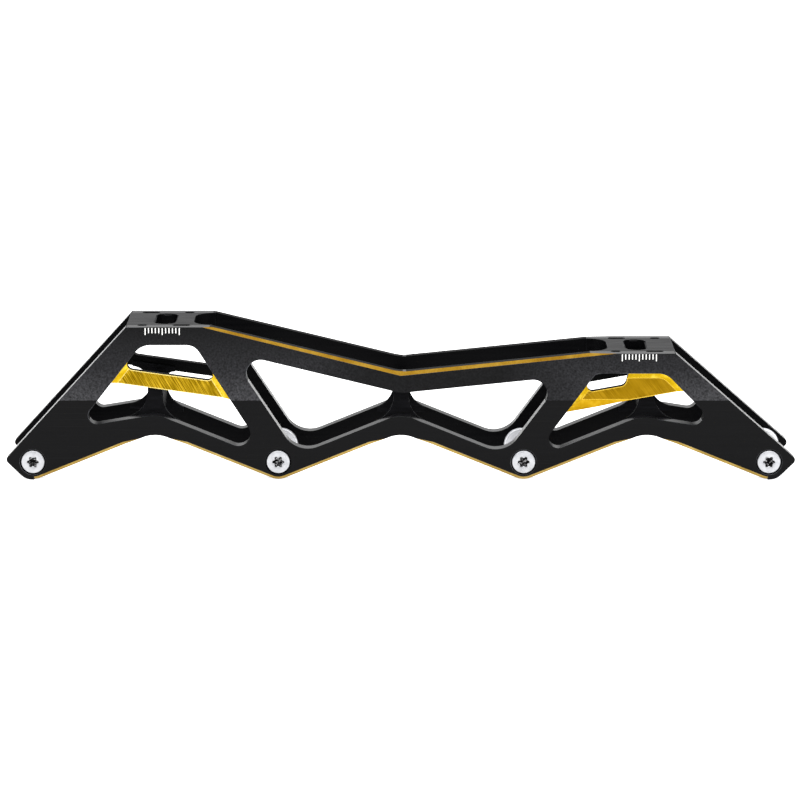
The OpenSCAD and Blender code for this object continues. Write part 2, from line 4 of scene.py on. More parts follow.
import bmesh
import bpy
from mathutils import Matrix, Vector


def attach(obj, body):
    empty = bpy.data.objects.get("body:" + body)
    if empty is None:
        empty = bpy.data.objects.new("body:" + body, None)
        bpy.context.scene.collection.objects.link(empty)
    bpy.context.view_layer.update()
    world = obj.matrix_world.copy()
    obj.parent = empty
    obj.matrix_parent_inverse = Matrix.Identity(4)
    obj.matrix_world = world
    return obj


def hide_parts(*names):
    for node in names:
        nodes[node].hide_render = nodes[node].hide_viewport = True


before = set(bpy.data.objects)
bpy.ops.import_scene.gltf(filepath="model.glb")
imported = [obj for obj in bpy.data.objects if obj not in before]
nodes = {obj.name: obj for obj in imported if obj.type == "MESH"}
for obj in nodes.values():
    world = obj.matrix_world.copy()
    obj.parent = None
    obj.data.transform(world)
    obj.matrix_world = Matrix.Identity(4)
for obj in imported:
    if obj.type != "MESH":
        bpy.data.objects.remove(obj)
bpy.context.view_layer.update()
scene = bpy.context.scene
mm = 0.001
print("frame loaded,", len(nodes), "nodes")


# small helpers for every material and mesh

def linear(hexColour):
    # from sRGB, with the standard's own numbers
    parts = [int(hexColour[i:i + 2], 16) / 255 for i in (1, 3, 5)]
    light = [c / 12.92 if c <= 0.04045 else ((c + 0.055) / 1.055) ** 2.4 for c in parts]
    return (*light, 1.0)


def addNode(tree, kind, settings=None, links=None):
    # settings starting with a capital or a number are sockets, the rest are properties of the node;
    # an RGBA mix has its two colours at sockets 6 and 7, and its result at output 2
    node = tree.nodes.new(kind)
    for key, value in (settings or {}).items():
        if isinstance(key, int) or key[0].isupper():
            node.inputs[key].default_value = value
        else:
            setattr(node, key, value)
    for key, source in (links or {}).items():
        tree.links.new(source, node.inputs[key])
    return node


def newMaterial(name):
    material = bpy.data.materials.new(name)
    material.use_nodes = True
    tree = material.node_tree
    tree.nodes.clear()
    shader = addNode(tree, "ShaderNodeBsdfPrincipled")
    addNode(tree, "ShaderNodeOutputMaterial", links={"Surface": shader.outputs[0]})
    return material, tree, shader


def setShader(tree, shader, links, values):
    for key, source in links.items():
        tree.links.new(source, shader.inputs[key])
    for key, value in values.items():
        shader.inputs[key].default_value = value


def setRamp(node, places, colours):
    elements = node.color_ramp.elements
    while len(elements) < len(places):
        elements.new(0.5)
    for element, place, colour in zip(elements, places, colours):
        element.position = place
        element.color = linear(colour)


# a noise lies mostly between these values, so its effects are spread over them
noiseRange = (0.3, 0.7)


def spread(to, start=noiseRange):
    return {"From Min": start[0], "From Max": start[1], "To Min": to[0], "To Max": to[1]}


def perMm(size):
    return 1 / (size * mm)


def cornerWearAndGlint(tree, look):
    # where the rounded normal turns away from the flat one, an edge is near; it is paled as wear on the black and as
    # a painted highlight on the braces' gold
    eased = addNode(tree, "ShaderNodeBevel", {"samples": 4, "Radius": look["edgeMm"] * mm})
    flat = addNode(tree, "ShaderNodeNewGeometry")
    same = addNode(tree, "ShaderNodeVectorMath", {"operation": "DOT_PRODUCT"},
                   {0: eased.outputs[0], 1: flat.outputs["Normal"]})
    return addNode(tree, "ShaderNodeMapRange", spread((0.0, look["wornAndGlint"]), look["cornerDot"]),
                   {"Value": same.outputs["Value"]})


def patchyWear(tree, look, cloud):
    # the corners are paler only in patches
    corner = cornerWearAndGlint(tree, look)
    patch = addNode(tree, "ShaderNodeMapRange", spread((0.0, 1.0), look["patch"]), {"Value": cloud.outputs["Fac"]})
    return addNode(tree, "ShaderNodeMath", {"operation": "MULTIPLY"}, {0: corner.outputs[0], 1: patch.outputs[0]})


def newMesh(name, points, faces, material):
    mesh = bpy.data.meshes.new(name)
    mesh.from_pydata([Vector(p) * mm for p in points], [], faces)
    mesh.validate()
    work = bmesh.new()
    work.from_mesh(mesh)
    bmesh.ops.recalc_face_normals(work, faces=work.faces)
    work.to_mesh(mesh)
    work.free()
    mesh.materials.append(material)
    piece = bpy.data.objects.new(name, mesh)
    scene.collection.objects.link(piece)
    return piece


# the tones of all the finishes below are matched to the photo, in this script's light

# black anodised aluminium, bead blasted: soft grey sheen with a fine speckle, and painted light that makes it paler
# towards the crease
blastedLook = {
    "dyeAndShadeTop": "#0a0a0b",
    "dyeAndLightMiddle": "#1a1a1c",
    "dyeAndLightCrease": "#2b2b2d",
    "dyeAndLightStops": (0.05, 0.42, 0.95),
    "rubbed": "#6c6d72",
    "creaseZ": 33.7, "topZ": 64.4,
    # painted shade: round the middle the beam is kept darker
    "shadeX": 15.0, "shadeReach": (25.0, 80.0),    # round the middle the beam is darker in the photo
    "grainMm": 0.7,        # blasting leaves pits near 0.1 mm, drawn coarser so that they show
    "speck": (0.25, 2.0),
    "cloudMm": 14.0,
    "edgeMm": 0.35, "cornerDot": (0.995, 0.90), "wornAndGlint": 0.8, "patch": (0.42, 0.62),
    "roughness": (0.36, 0.48),
    "specular": 0.07,
    "bump": 0.12, "bumpMm": 0.05,
}


def blackBlasted():
    look = blastedLook
    material, tree, shader = newMaterial("blackAnodisedBlasted")
    place = addNode(tree, "ShaderNodeTexCoord").outputs["Object"]
    grain = addNode(tree, "ShaderNodeTexNoise",
                    {"Scale": perMm(look["grainMm"]), "Detail": 3.0, "Roughness": 0.65}, {"Vector": place})
    cloud = addNode(tree, "ShaderNodeTexNoise", {"Scale": perMm(look["cloudMm"]), "Detail": 4.0}, {"Vector": place})
    # painted light and shade: dark at the top and round the middle, paler down to the crease
    height = addNode(tree, "ShaderNodeSeparateXYZ", links={0: place})
    lightRise = addNode(tree, "ShaderNodeMapRange", spread((0.0, 1.0), (look["creaseZ"] * mm, look["topZ"] * mm)),
                   {"Value": height.outputs["Z"]})
    aside = addNode(tree, "ShaderNodeMath", {"operation": "SUBTRACT", 1: look["shadeX"] * mm},
                    {0: height.outputs["X"]})
    away = addNode(tree, "ShaderNodeMath", {"operation": "ABSOLUTE"}, {0: aside.outputs[0]})
    shadeKept = addNode(tree, "ShaderNodeMapRange", spread((1.0, 0.0), [reach * mm for reach in look["shadeReach"]]),
                   {"Value": away.outputs[0]})
    lightLevel = addNode(tree, "ShaderNodeMath", {"operation": "MAXIMUM"}, {0: lightRise.outputs[0], 1: shadeKept.outputs[0]})
    dyeAndLight = addNode(tree, "ShaderNodeValToRGB", links={0: lightLevel.outputs[0]})
    setRamp(dyeAndLight, look["dyeAndLightStops"], (look["dyeAndLightCrease"], look["dyeAndLightMiddle"], look["dyeAndShadeTop"]))
    speck = addNode(tree, "ShaderNodeMapRange", spread(look["speck"]), {"Value": grain.outputs["Fac"]})
    speckled = addNode(tree, "ShaderNodeMix", {"data_type": "RGBA", "blend_type": "MULTIPLY", 0: 1.0},
                       {6: dyeAndLight.outputs[0], 7: speck.outputs[0]})
    edgeWearAndGlint = patchyWear(tree, look, cloud)
    colour = addNode(tree, "ShaderNodeMix", {"data_type": "RGBA", 7: linear(look["rubbed"])},
                     {0: edgeWearAndGlint.outputs[0], 6: speckled.outputs[2]})
    rough = addNode(tree, "ShaderNodeMapRange", spread(look["roughness"]), {"Value": cloud.outputs["Fac"]})
    bump = addNode(tree, "ShaderNodeBump", {"Strength": look["bump"], "Distance": look["bumpMm"] * mm},
                   {"Height": grain.outputs["Fac"]})
    setShader(tree, shader,
              {"Base Color": colour.outputs[2], "Roughness": rough.outputs[0], "Normal": bump.outputs[0]},
              {"Specular IOR Level": look["specular"]})
    return material


# black anodised aluminium, milled: darker and glossier, with faint tool lines along the frame
milledLook = {
    "dyeAndLight": "#060607",
    "dyeAndLightPale": "#09090a",
    "dyeAndLightStops": (0.3, 0.75),
    "rubbed": "#6a6b70",
    "lineMm": 0.9,         # feed marks of about 0.2 mm, drawn coarser
    "lineLongMm": 40.0,
    "cloudMm": 18.0,
    "edgeMm": 0.35, "cornerDot": (0.995, 0.90), "wornAndGlint": 0.7, "patch": (0.45, 0.65),
    "roughness": (0.23, 0.28),
    "specular": 0.06,
    "bump": 0.015, "bumpMm": 0.05,
}

# the same finish on the decks: a grey shine at a low angle, with a paler dye as painted light on the faces that look
# up
litDeckLook = {
    **milledLook,
    "dyeAndLight": "#08080a",
    "dyeAndLightPale": "#121214",
    "rubbed": "#7c7d82",
    "lineMm": 1.2,
    "lineLongMm": 12.0,
    "cloudMm": 10.0,
    "edgeMm": 0.3,
    "roughness": (0.26, 0.38),
    "bump": 0.05,
}

# on the windows' sills and the walls' other upper edges: a stronger shine and a paler dye as painted light, which
# draw them as light lines
litSillLook = {
    **litDeckLook,
    "dyeAndLight": "#101012",
    "dyeAndLightPale": "#1a1a1c",
    "roughness": (0.24, 0.34),
    "specular": 0.5,
    "bump": 0.04,
}

# painted shade on the inside and on top of the beam: deepest black, with hardly a shine
shadedDeepLook = {
    **milledLook,
    "dyeAndLight": "#030304",
    "dyeAndLightPale": "#060607",
    "rubbed": "#3a3b3f",
    "edgeMm": 0.3,
    "roughness": (0.42, 0.52),
    "specular": 0.04,
    "bump": 0.04,
}

# on the posts between the walls: dull, without a shine along their sides
postLook = {
    **shadedDeepLook,
    "dyeAndLight": "#0b0b0c",
    "dyeAndLightPale": "#131315",
    "lineLongMm": 6.0,
    "cloudMm": 12.0,
    "roughness": (0.55, 0.68),
    "specular": 0.01,
    "bump": 0.08,
}


def blackMilled(name, look):
    material, tree, shader = newMaterial(name)
    place = addNode(tree, "ShaderNodeTexCoord").outputs["Object"]
    long = perMm(look["lineLongMm"])
    fine = perMm(look["lineMm"])
    stretch = addNode(tree, "ShaderNodeVectorMath", {"operation": "MULTIPLY", 1: (long, fine, fine)}, {0: place})
    lines = addNode(tree, "ShaderNodeTexNoise", {"Scale": 1.0, "Detail": 2.0}, {"Vector": stretch.outputs[0]})
    cloud = addNode(tree, "ShaderNodeTexNoise", {"Scale": perMm(look["cloudMm"]), "Detail": 4.0}, {"Vector": place})
    dyeAndLight = addNode(tree, "ShaderNodeValToRGB", links={0: lines.outputs["Fac"]})
    setRamp(dyeAndLight, look["dyeAndLightStops"], (look["dyeAndLight"], look["dyeAndLightPale"]))
    edgeWearAndGlint = patchyWear(tree, look, cloud)
    colour = addNode(tree, "ShaderNodeMix", {"data_type": "RGBA", 7: linear(look["rubbed"])},
                     {0: edgeWearAndGlint.outputs[0], 6: dyeAndLight.outputs[0]})
    rough = addNode(tree, "ShaderNodeMapRange", spread(look["roughness"]), {"Value": lines.outputs["Fac"]})
    bump = addNode(tree, "ShaderNodeBump", {"Strength": look["bump"], "Distance": look["bumpMm"] * mm},
                   {"Height": lines.outputs["Fac"]})
    setShader(tree, shader,
              {"Base Color": colour.outputs[2], "Roughness": rough.outputs[0], "Normal": bump.outputs[0]},
              {"Specular IOR Level": look["specular"]})
    return material


# gold anodised aluminium on the beam's milled chamfer: a clear metal colour with lighter and deeper flecks
beamLook = {
    "gold": "#816119",
    "goldLight": "#93752d",
    "goldDeep": "#71500f",
    "goldStops": (0.45, 0.66, 0.9),
    "lineMm": 0.8,         # the mill's feed is finer, drawn coarser
    "lineShare": 0.35,
    "cloudMm": 9.0,
    "roughness": (0.26, 0.40),
}

# under the rail: the same gold, paler, as painted light from the floor below
litRailLook = {**beamLook, "gold": "#937932", "goldLight": "#a88f4e", "goldDeep": "#816624"}

# round the braces: the same gold, clear and bright, as painted light
litRimLook = {
    **beamLook,
    "gold": "#b69512",
    "goldLight": "#d4ba3e",
    "goldDeep": "#a28209",
    "cloudMm": 5.0,
    "roughness": (0.24, 0.36),
}

# where that rim faces up: deeper and duller, as painted shade, or the light from above would burn it out
shadedLedgeLook = {
    **litRimLook,
    "gold": "#94720c",
    "goldLight": "#a8861c",
    "goldDeep": "#836208",
    "roughness": (0.34, 0.46),
}


def goldChamfer(name, look):
    material, tree, shader = newMaterial(name)
    place = addNode(tree, "ShaderNodeTexCoord").outputs["Object"]
    lines = addNode(tree, "ShaderNodeTexNoise", {"Scale": perMm(look["lineMm"]), "Detail": 2.0}, {"Vector": place})
    cloud = addNode(tree, "ShaderNodeTexNoise", {"Scale": perMm(look["cloudMm"]), "Detail": 3.0}, {"Vector": place})
    tone = addNode(tree, "ShaderNodeMath", {"operation": "MULTIPLY_ADD", 1: look["lineShare"]},
                   {0: lines.outputs["Fac"], 2: cloud.outputs["Fac"]})
    dyeAndLight = addNode(tree, "ShaderNodeValToRGB", links={0: tone.outputs[0]})
    setRamp(dyeAndLight, look["goldStops"], (look["goldDeep"], look["gold"], look["goldLight"]))
    rough = addNode(tree, "ShaderNodeMapRange", spread(look["roughness"]), {"Value": lines.outputs["Fac"]})
    setShader(tree, shader, {"Base Color": dyeAndLight.outputs[0], "Roughness": rough.outputs[0]}, {"Metallic": 1.0})
    return material


# gold anodised aluminium, milled across: slanting streaks of light and dark, the mill's passes with painted
# reflection, and a painted highlight along the edges
heelBraceLook = {
    "gold": "#765d05",
    "goldLight": "#b08f20",
    "goldDeep": "#553f02",
    "goldStops": (0.50, 0.63, 0.78),
    "edgeHighlight": "#fbe994",
    "angle": -60.0,        # of the streaks to the frame's length, in degrees
    "streakMm": 0.36,      # the mill's passes are near 0.3 mm, drawn coarser
    "streakLongMm": 18.0,
    "cloudMm": 8.0, "cloudShare": 0.3,
    "edgeMm": 0.6, "cornerDot": (0.9992, 0.98), "wornAndGlint": 0.9,
    "roughness": (0.24, 0.42),
    "bump": 0.2, "bumpMm": 0.1,
}

# the toe's braces: fainter streaks on a deeper gold, as painted shade
toeBraceShadedLook = {
    **heelBraceLook,
    "gold": "#785b07",
    "goldLight": "#8c6c11",
    "goldDeep": "#674c04",
    "edgeHighlight": "#e3c04a",
    "angle": -52.0,
    "streakMm": 0.3,
    "streakLongMm": 14.0,
    "roughness": (0.26, 0.40),
    "bump": 0.15,
}


def goldMilled(name, look):
    material, tree, shader = newMaterial(name)
    place = addNode(tree, "ShaderNodeTexCoord").outputs["Object"]
    angle = math.radians(look["angle"])
    sine, cosine = math.sin(angle) / mm, math.cos(angle) / mm
    across = addNode(tree, "ShaderNodeVectorMath", {"operation": "DOT_PRODUCT", 1: (sine, 0.0, -cosine)}, {0: place})
    along = addNode(tree, "ShaderNodeVectorMath", {"operation": "DOT_PRODUCT", 1: (cosine, 0.0, sine)}, {0: place})
    acrossCount = addNode(tree, "ShaderNodeMath", {"operation": "DIVIDE", 1: look["streakMm"]},
                          {0: across.outputs["Value"]})
    alongCount = addNode(tree, "ShaderNodeMath", {"operation": "DIVIDE", 1: look["streakLongMm"]},
                         {0: along.outputs["Value"]})
    grid = addNode(tree, "ShaderNodeCombineXYZ", links={0: acrossCount.outputs[0], 1: alongCount.outputs[0]})
    # the streaks are the mill's passes, their light and dark drawn as painted reflection
    streak = addNode(tree, "ShaderNodeTexNoise", {"Scale": 1.0, "Detail": 3.0, "Roughness": 0.7},
                     {"Vector": grid.outputs[0]})
    cloud = addNode(tree, "ShaderNodeTexNoise", {"Scale": perMm(look["cloudMm"]), "Detail": 3.0}, {"Vector": place})
    tone = addNode(tree, "ShaderNodeMath", {"operation": "MULTIPLY_ADD", 1: look["cloudShare"]},
                   {0: cloud.outputs["Fac"], 2: streak.outputs["Fac"]})
    dyeAndLight = addNode(tree, "ShaderNodeValToRGB", links={0: tone.outputs[0]})
    setRamp(dyeAndLight, look["goldStops"], (look["goldDeep"], look["gold"], look["goldLight"]))
    # painted highlight: a pale line along the brace's edges
    edgeWearAndGlint = cornerWearAndGlint(tree, look)
    colour = addNode(tree, "ShaderNodeMix", {"data_type": "RGBA", 7: linear(look["edgeHighlight"])},
                     {0: edgeWearAndGlint.outputs[0], 6: dyeAndLight.outputs[0]})
    rough = addNode(tree, "ShaderNodeMapRange", spread(look["roughness"]), {"Value": streak.outputs["Fac"]})
    bump = addNode(tree, "ShaderNodeBump", {"Strength": look["bump"], "Distance": look["bumpMm"] * mm},
                   {"Height": streak.outputs["Fac"]})
    setShader(tree, shader,
              {"Base Color": colour.outputs[2], "Roughness": rough.outputs[0], "Normal": bump.outputs[0]},
              {"Metallic": 1.0})
    return material


# bare aluminium, turned on a lathe: silver with fine rings round the bore
turnedLook = {
    "metal": "#f3f3f5",
    "metalDark": "#cbccd0",
    "ringMm": 0.5,         # the lathe's feed is near 0.1 mm, drawn coarser
    "acrossMm": 14.6,
    "roughness": (0.58, 0.72),
    "bump": 0.12, "bumpMm": 0.05,
}


def turnedAluminium():
    look = turnedLook
    material, tree, shader = newMaterial("bareAluminiumTurned")
    place = addNode(tree, "ShaderNodeTexCoord").outputs["Generated"]
    middle = addNode(tree, "ShaderNodeVectorMath", {"operation": "SUBTRACT", 1: (0.5, 0.5, 0.5)}, {0: place})
    across = addNode(tree, "ShaderNodeVectorMath",
                     {"operation": "MULTIPLY", 1: (look["acrossMm"], 0.0, look["acrossMm"])}, {0: middle.outputs[0]})
    radius = addNode(tree, "ShaderNodeVectorMath", {"operation": "LENGTH"}, {0: across.outputs[0]})
    turns = addNode(tree, "ShaderNodeMath", {"operation": "DIVIDE", 1: look["ringMm"]},
                    {0: radius.outputs["Value"]})
    rings = addNode(tree, "ShaderNodeTexNoise", {"noise_dimensions": "1D", "Scale": 1.0, "Detail": 3.0},
                    {"W": turns.outputs[0]})
    tone = addNode(tree, "ShaderNodeValToRGB", links={0: rings.outputs["Fac"]})
    setRamp(tone, noiseRange, (look["metalDark"], look["metal"]))
    rough = addNode(tree, "ShaderNodeMapRange", spread(look["roughness"]), {"Value": rings.outputs["Fac"]})
    bump = addNode(tree, "ShaderNodeBump", {"Strength": look["bump"], "Distance": look["bumpMm"] * mm},
                   {"Height": rings.outputs["Fac"]})
    setShader(tree, shader,
              {"Base Color": tone.outputs[0], "Roughness": rough.outputs[0], "Normal": bump.outputs[0]},
              {"Metallic": 1.0})
    return material


# aluminium axle, satin anodised: pale silver with a soft gloss, a little uneven
satinLook = {
    "metal": "#b0b1b4",
    "metalDark": "#9a9b9f",
    "metalStops": (0.3, 0.65),
    "cloudMm": 3.0,
    "grainMm": 0.5,
    "roughness": (0.24, 0.38),
    "bump": 0.05, "bumpMm": 0.05,
}

# painted shade on the same metal down in the drive: almost black, with painted glints as bright flecks
shadedDriveLook = {
    **satinLook,
    "metal": "#c8c8ca",
    "metalDark": "#0a0a0b",
    "metalStops": (0.53, 0.66),
    "cloudMm": 0.8,
    "grainMm": 0.4,
    "roughness": (0.45, 0.65),
    "bump": 0.1,
}


def axleMetal(name, look):
    material, tree, shader = newMaterial(name)
    place = addNode(tree, "ShaderNodeTexCoord").outputs["Object"]
    cloud = addNode(tree, "ShaderNodeTexNoise", {"Scale": perMm(look["cloudMm"]), "Detail": 4.0}, {"Vector": place})
    grain = addNode(tree, "ShaderNodeTexNoise", {"Scale": perMm(look["grainMm"]), "Detail": 2.0}, {"Vector": place})
    tone = addNode(tree, "ShaderNodeValToRGB", links={0: cloud.outputs["Fac"]})
    setRamp(tone, look["metalStops"], (look["metalDark"], look["metal"]))
    rough = addNode(tree, "ShaderNodeMapRange", spread(look["roughness"]), {"Value": cloud.outputs["Fac"]})
    bump = addNode(tree, "ShaderNodeBump", {"Strength": look["bump"], "Distance": look["bumpMm"] * mm},
                   {"Height": grain.outputs["Fac"]})
    setShader(tree, shader,
              {"Base Color": tone.outputs[0], "Roughness": rough.outputs[0], "Normal": bump.outputs[0]},
              {"Metallic": 1.0})
    return material


# white printed marking ink: thin, matt, a little uneven
inkLook = {"ink": "#e9e9e6", "inkThin": "#c4c4c2", "inkStops": (0.3, 0.5), "grainMm": 0.6, "roughness": 0.55}


def whiteInk():
    look = inkLook
    material, tree, shader = newMaterial("whiteInkPrinted")
    place = addNode(tree, "ShaderNodeTexCoord").outputs["Object"]
    grain = addNode(tree, "ShaderNodeTexNoise", {"Scale": perMm(look["grainMm"]), "Detail": 3.0}, {"Vector": place})
    tone = addNode(tree, "ShaderNodeValToRGB", links={0: grain.outputs["Fac"]})
    setRamp(tone, look["inkStops"], (look["inkThin"], look["ink"]))
    setShader(tree, shader, {"Base Color": tone.outputs[0]}, {"Roughness": look["roughness"]})
    return material


blasted = blackBlasted()
milled = blackMilled("blackAnodisedMilled", milledLook)
litDeck = blackMilled("blackAnodisedDeckLit", litDeckLook)
litSill = blackMilled("blackAnodisedSillLit", litSillLook)
shadedDeep = blackMilled("blackAnodisedDeepShaded", shadedDeepLook)
dull = blackMilled("blackAnodisedDull", postLook)
beamGold = goldChamfer("goldAnodisedBeam", beamLook)
litRailGold = goldChamfer("goldAnodisedRailLit", litRailLook)
litRimGold = goldChamfer("goldAnodisedRimLit", litRimLook)
shadedLedgeGold = goldChamfer("goldAnodisedLedgeShaded", shadedLedgeLook)
heelGold = goldMilled("goldAnodisedMilledHeel", heelBraceLook)
toeGoldShaded = goldMilled("goldAnodisedMilledToeShaded", toeBraceShadedLook)
turned = turnedAluminium()
satin = axleMetal("axleAluminiumSatin", satinLook)
shadedDrive = axleMetal("axleDriveShaded", shadedDriveLook)
ink = whiteInk()
print("materials made")


# the CAD nodes keep their shape and get their finishes face by face, and fine rounded edges

edgeSettings = {
    "wall": 0.12, "platform": 0.06, "bridge": 0.08, "brace": 0.12, "bush": 0.12, "insert": 0.12,
    "weldMm": 0.002, "segments": 2, "sharperThan": 24.0, "weight": 60,
}


def softenEdges(node, width):
    s = edgeSettings
    weld = node.modifiers.new("joinSeams", "WELD")
    weld.merge_threshold = s["weldMm"] * mm
    bevel = node.modifiers.new("brokenEdges", "BEVEL")
    bevel.width = width * mm
    bevel.segments = s["segments"]
    bevel.limit_method = "ANGLE"
    bevel.angle_limit = math.radians(s["sharperThan"])
    bevel.use_clamp_overlap = True
    bevel.miter_outer = "MITER_ARC"
    normals = node.modifiers.new("evenShading", "WEIGHTED_NORMAL")
    normals.weight = s["weight"]
    normals.keep_sharp = False


def dress(name, finishes, choose):
    mesh = nodes[name].data
    mesh.materials.clear()
    for finish in finishes:
        mesh.materials.append(finish)
    if "custom_normal" in mesh.attributes:
        mesh.attributes.remove(mesh.attributes["custom_normal"])
    for face in mesh.polygons:
        face.material_index = choose(face)
        face.use_smooth = True


# parts of a normal that tell the faces apart, and heights in mm
upward = 0.5
wallParts = {"flat": 0.95, "leaning": 0.008, "chamfer": (0.4, 0.9), "beamSlope": (0.9, 0.9998), "beamZ": 40.0}
braceParts = {"flat": 0.985, "slope": 0.3, "ledge": 0.15, "tipY": 17.5}


def wallFace(side):
    # 0 blasted over the crease, 1 milled below it, 2 gold along the beam, 3 gold under the rail, paler as painted
    # light,
    # 4 deep black inside and on top of the beam, as painted shade, 5 sills and the other upper edges, paler as
    # painted light
    s = wallParts

    def choose(face):
        out, up = face.normal.y * side, face.normal.z
        if out > s["flat"]:
            return 0 if up > s["leaning"] else 1
        if s["chamfer"][0] < out < s["chamfer"][1]:
            return 2 if up > 0 else 3
        if s["beamSlope"][0] < up < s["beamSlope"][1] and face.center.z > s["beamZ"] * mm:
            return 4
        return 5 if up > upward else 4
    return choose


def braceFace(side):
    # 0 gold on the outside, 1 brighter gold on the slopes round it as painted light, 2 deeper gold as painted shade
    # on the slope that faces up and on the tip below it, 3 deep black elsewhere as painted shade
    s = braceParts

    def choose(face):
        out = face.normal.y * side
        if out > s["flat"]:
            return 0 if abs(face.center.y) < s["tipY"] * mm else 2
        if out > s["slope"]:
            return 2 if face.normal.z > s["ledge"] else 1
        return 3
    return choose


for side, sideName in ((-1, "right"), (1, "left")):
    wall = sideName + "_side_wall"
    dress(wall, [blasted, milled, beamGold, litRailGold, shadedDeep, litSill], wallFace(side))
    softenEdges(nodes[wall], edgeSettings["wall"])
    for end, gold in (("heel", heelGold), ("toe", toeGoldShaded)):
        brace = sideName + "_" + end + "_brace"
        dress(brace, [gold, litRimGold, shadedLedgeGold, shadedDeep], braceFace(side))
        softenEdges(nodes[brace], edgeSettings["brace"])
for end in ("heel", "toe"):
    # painted light on the platforms' upward faces, painted shade on the rest
    dress(end + "_platform", [shadedDeep, litDeck], lambda face: int(face.normal.z > upward))
    softenEdges(nodes[end + "_platform"], edgeSettings["platform"])
for end in ("heel", "middle", "toe"):
    dress(end + "_bridge", [dull], lambda face: 0)
    softenEdges(nodes[end + "_bridge"], edgeSettings["bridge"])
for i in range(1, 5):
    for kind in ("bush", "insert"):
        dress(f"{kind}_{i}", [turned], lambda face: 0)
        softenEdges(nodes[f"{kind}_{i}"], edgeSettings[kind])
print("walls, platforms, bridges, braces, bushes and inserts dressed")


# axles: sunken head with a six-lobe drive, plain shank, rolled M7 thread
axleSettings = {
    "pitch": 101.6, "axleZ": 7.5,
    "headY": -17.9, "headR": 5.0, "headT": 2.9, "edge": 0.4, "edgeSoft": 0.03, "soft": 0.12, "backSoft": 0.15,
    "driveD": 4.8, "driveCore": 0.36, "driveDepth": 1.8, "driveLead": 0.12, "driveLand": 0.55,
    "driveFloorR": 1.5, "driveCorner": 0.08, "drivePoint": 0.5, "drivePointR": 0.35, "driveRows": 4,
    "shankR": 4.0, "shankEnd": 11.7, "shankRows": (-6.0, 4.0),
    "threadR": 3.44, "threadRoot": 2.9, "threadPitch": 1.0, "threadStart": 0.3, "threadEnd": 17.4,
    "rootFlat": 0.12, "flank": 0.7, "runIn": (0.5, 0.5), "runOut": (0.5, 0.4), "runOutLeft": 0.2,
    "groove": 0.15, "pointIn": 0.3, "pointR": 1.2,
    "around": 96, "rowsPerTurn": 14, "weight": 60,
}


def clamped(value):
    return min(1.0, max(0.0, value))


def driveRadius(angle, grow):
    # six round lobes on a round core, with the inner corners eased
    s = axleSettings
    lobe = s["driveD"] / 8
    reach = s["driveD"] / 2 - lobe
    turn = (angle + math.pi / 6) % (math.pi / 3) - math.pi / 6
    side = reach * math.sin(turn)
    inside = lobe * lobe - side * side
    lobed = reach * math.cos(turn) + math.sqrt(inside) if inside > 0 else 0
    return max(s["driveD"] * s["driveCore"], lobed) + grow


def threadRadius(y, angle):
    s = axleSettings
    phase = ((y - s["shankEnd"]) / s["threadPitch"] - angle / (2 * math.pi)) % 1
    wave = clamped((abs(phase - 0.5) * 2 - s["rootFlat"]) / s["flank"])
    # the thread starts at the shoulder's groove and runs out at the point
    start = clamped((y - s["shankEnd"] - s["runIn"][0]) / s["runIn"][1])
    end = clamped((s["threadEnd"] - s["runOut"][0] - y) / s["runOut"][1])
    left = s["runOutLeft"]
    crest = s["threadRoot"] + (s["threadR"] - s["threadRoot"]) * start * (left + (1 - left) * end)
    return s["threadRoot"] + (crest - s["threadRoot"]) * wave


def axleMesh(name, x):
    s = axleSettings
    n = s["around"]
    angles = [2 * math.pi * k / n for k in range(n)]
    rings = []

    def ring(y, radius):
        rings.append([(y, radius(a) if callable(radius) else radius, a) for a in angles])

    # from the bottom of the drive out over the head, then along the shank
    top = s["headY"]
    floor = top + s["driveDepth"]
    back = top + s["headT"]
    ring(floor + s["drivePoint"], s["drivePointR"])
    ring(floor, s["driveFloorR"])
    ring(floor, lambda a: driveRadius(a, -s["driveCorner"]))
    ring(floor - s["driveCorner"], lambda a: driveRadius(a, 0))
    ring(top + s["driveLead"], lambda a: driveRadius(a, 0))
    ring(top, lambda a: driveRadius(a, s["driveLead"]))
    ring(top, s["driveD"] / 2 + s["driveLand"])
    ring(top, s["headR"] - s["edge"] - s["soft"])
    ring(top + s["edgeSoft"], s["headR"] - s["edge"])
    ring(top + s["edge"], s["headR"] - s["edgeSoft"])
    ring(top + s["edge"] + s["soft"], s["headR"])
    ring(back - s["backSoft"], s["headR"])
    ring(back, s["headR"] - s["backSoft"])
    ring(back, s["shankR"] + s["soft"])
    ring(back + s["soft"], s["shankR"])
    for y in s["shankRows"]:
        ring(y, s["shankR"])
    ring(s["shankEnd"] - s["edge"], s["shankR"])
    ring(s["shankEnd"], s["shankR"] - s["edge"])
    ring(s["shankEnd"], s["threadRoot"] + s["groove"])
    ring(s["shankEnd"] + s["groove"], s["threadRoot"])
    y = s["shankEnd"] + s["threadStart"]
    step = s["threadPitch"] / s["rowsPerTurn"]
    while y < s["threadEnd"] - s["edge"]:
        ring(y, lambda a, at=y: threadRadius(at, a))
        y += step
    ring(s["threadEnd"], s["threadRoot"] - s["pointIn"])
    ring(s["threadEnd"], s["pointR"])
    points = [(x + r * math.cos(a), y, s["axleZ"] + r * math.sin(a)) for row in rings for y, r, a in row]
    faces = []
    for j in range(len(rings) - 1):
        for k in range(n):
            m = (k + 1) % n
            faces.append((j * n + k, j * n + m, (j + 1) * n + m, (j + 1) * n + k))
    faces.append(tuple(range(n)))
    faces.append(tuple(range((len(rings) - 1) * n, len(rings) * n)))
    # the cap at the bottom of the drive is the last face but one
    return newMesh(name, points, faces, satin), len(faces) - 2


